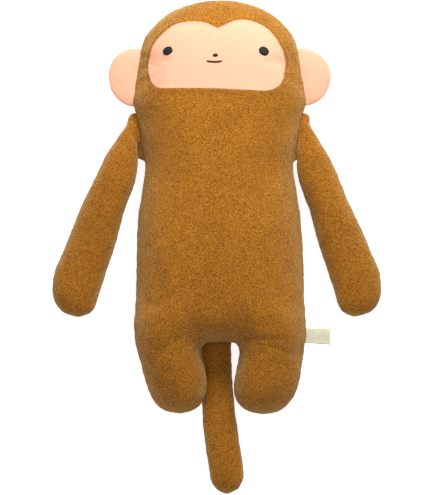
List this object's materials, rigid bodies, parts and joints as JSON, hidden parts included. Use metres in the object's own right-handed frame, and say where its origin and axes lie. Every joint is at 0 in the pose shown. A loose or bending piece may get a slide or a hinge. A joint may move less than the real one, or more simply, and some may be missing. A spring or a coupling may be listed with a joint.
{
  "type": "stuffed monkey",
  "caption": "Flat-bodied stuffed monkey with long arms, short legs, a tail, round ears and an embroidered face, lying on its back",
  "frame": {"origin": "on the centre line, in the flat of the back that the toy lies on, 257 mm below the top of the head", "axes": "+Z is the way the face looks, +Y points at the top of the head, +X at the toy's own left hand"},
  "size_m": [0.4186, 0.6158, 0.101],
  "materials": {
    "brown_towelling": "mustard-brown looped towelling, matt",
    "peach_velour": "short-pile peach velour, matt",
    "dark_thread": "close satin-stitch embroidery thread, near black",
    "brown_thread": "brown sewing thread",
    "label_satin": "pale cream woven satin, blank",
    "fibre_filling": "white polyester fibre"
  },
  "bodies": {
    "torso": {"body_front_panel": "brown_towelling", "body_back_left_panel": "brown_towelling", "body_back_right_panel": "brown_towelling", "body_stuffing": "fibre_filling", "closing_stitches": "brown_thread", "face_patch": "peach_velour", "right_eye": "dark_thread", "left_eye": "dark_thread", "nose": "dark_thread", "mouth": "dark_thread"},
    "left_shoulder": {"left_shoulder_tab": "brown_towelling"},
    "left_arm": {"left_arm_front_panel": "brown_towelling", "left_arm_back_panel": "brown_towelling", "left_arm_stuffing": "fibre_filling"},
    "left_leg": {"left_leg_front_panel": "brown_towelling", "left_leg_back_panel": "brown_towelling", "left_leg_stuffing": "fibre_filling"},
    "left_ear": {"left_ear_front_panel": "peach_velour", "left_ear_back_panel": "peach_velour", "left_ear_stuffing": "fibre_filling"},
    "right_shoulder": {"right_shoulder_tab": "brown_towelling"},
    "right_arm": {"right_arm_front_panel": "brown_towelling", "right_arm_back_panel": "brown_towelling", "right_arm_stuffing": "fibre_filling"},
    "right_leg": {"right_leg_front_panel": "brown_towelling", "right_leg_back_panel": "brown_towelling", "right_leg_stuffing": "fibre_filling"},
    "right_ear": {"right_ear_front_panel": "peach_velour", "right_ear_back_panel": "peach_velour", "right_ear_stuffing": "fibre_filling"},
    "tail_base": {"tail_base_top_panel": "brown_towelling", "tail_base_under_panel": "brown_towelling", "tail_base_stuffing": "fibre_filling"},
    "tail_middle": {"tail_middle_top_panel": "brown_towelling", "tail_middle_under_panel": "brown_towelling", "tail_middle_stuffing": "fibre_filling"},
    "tail_tip": {"tail_tip_top_panel": "brown_towelling", "tail_tip_under_panel": "brown_towelling", "tail_tip_stuffing": "fibre_filling"},
    "label": {"side_label": "label_satin"}
  },
  "joints": [
    {"name": "left_shoulder_fold", "type": "hinge", "parent": "torso", "child": "left_shoulder", "pos_m": [0.1065, 0.097, 0.048], "axis": [0, -1, 0], "range_deg": [0, 55]},
    {"name": "left_arm_swing", "type": "hinge", "parent": "left_shoulder", "child": "left_arm", "pos_m": [0.1145, 0.097, 0.048], "axis": [0, 0, 1], "range_deg": [-8, 60]},
    {"name": "left_leg_fold", "type": "hinge", "parent": "torso", "child": "left_leg", "pos_m": [0.0645, -0.1763, 0.084], "axis": [-1, 0, 0], "range_deg": [0, 45]},
    {"name": "left_ear_fold", "type": "hinge", "parent": "torso", "child": "left_ear", "pos_m": [0.10625, 0.162, 0.05], "axis": [0.1345, -0.9909, 0], "range_deg": [-55, 60], "stiffness_Nm_per_rad": 0.003},
    {"name": "right_shoulder_fold", "type": "hinge", "parent": "torso", "child": "right_shoulder", "pos_m": [-0.1065, 0.097, 0.048], "axis": [0, 1, 0], "range_deg": [0, 55]},
    {"name": "right_arm_swing", "type": "hinge", "parent": "right_shoulder", "child": "right_arm", "pos_m": [-0.1145, 0.097, 0.048], "axis": [0, 0, -1], "range_deg": [-8, 60]},
    {"name": "right_leg_fold", "type": "hinge", "parent": "torso", "child": "right_leg", "pos_m": [-0.0645, -0.1763, 0.084], "axis": [-1, 0, 0], "range_deg": [0, 45]},
    {"name": "right_ear_fold", "type": "hinge", "parent": "torso", "child": "right_ear", "pos_m": [-0.10625, 0.162, 0.05], "axis": [0.1345, 0.9909, 0], "range_deg": [-55, 60], "stiffness_Nm_per_rad": 0.003},
    {"name": "tail_lift", "type": "hinge", "parent": "torso", "child": "tail_base", "pos_m": [0, -0.1692, 0.0303], "axis": [-1, 0, 0], "range_deg": [0, 75]},
    {"name": "tail_sway", "type": "hinge", "parent": "tail_base", "child": "tail_middle", "pos_m": [0, -0.27, 0.0168], "axis": [0, 0, 1], "range_deg": [-25, 25]},
    {"name": "tail_curl", "type": "hinge", "parent": "tail_middle", "child": "tail_tip", "pos_m": [0.0059, -0.3113, 0.0335], "axis": [-1, 0, 0], "range_deg": [0, 70]},
    {"name": "label_fold", "type": "hinge", "parent": "torso", "child": "label", "pos_m": [0.1099, -0.1632, 0.048], "axis": [0, -1, 0], "range_deg": [-70, 70], "stiffness_Nm_per_rad": 0.002}
  ]
}
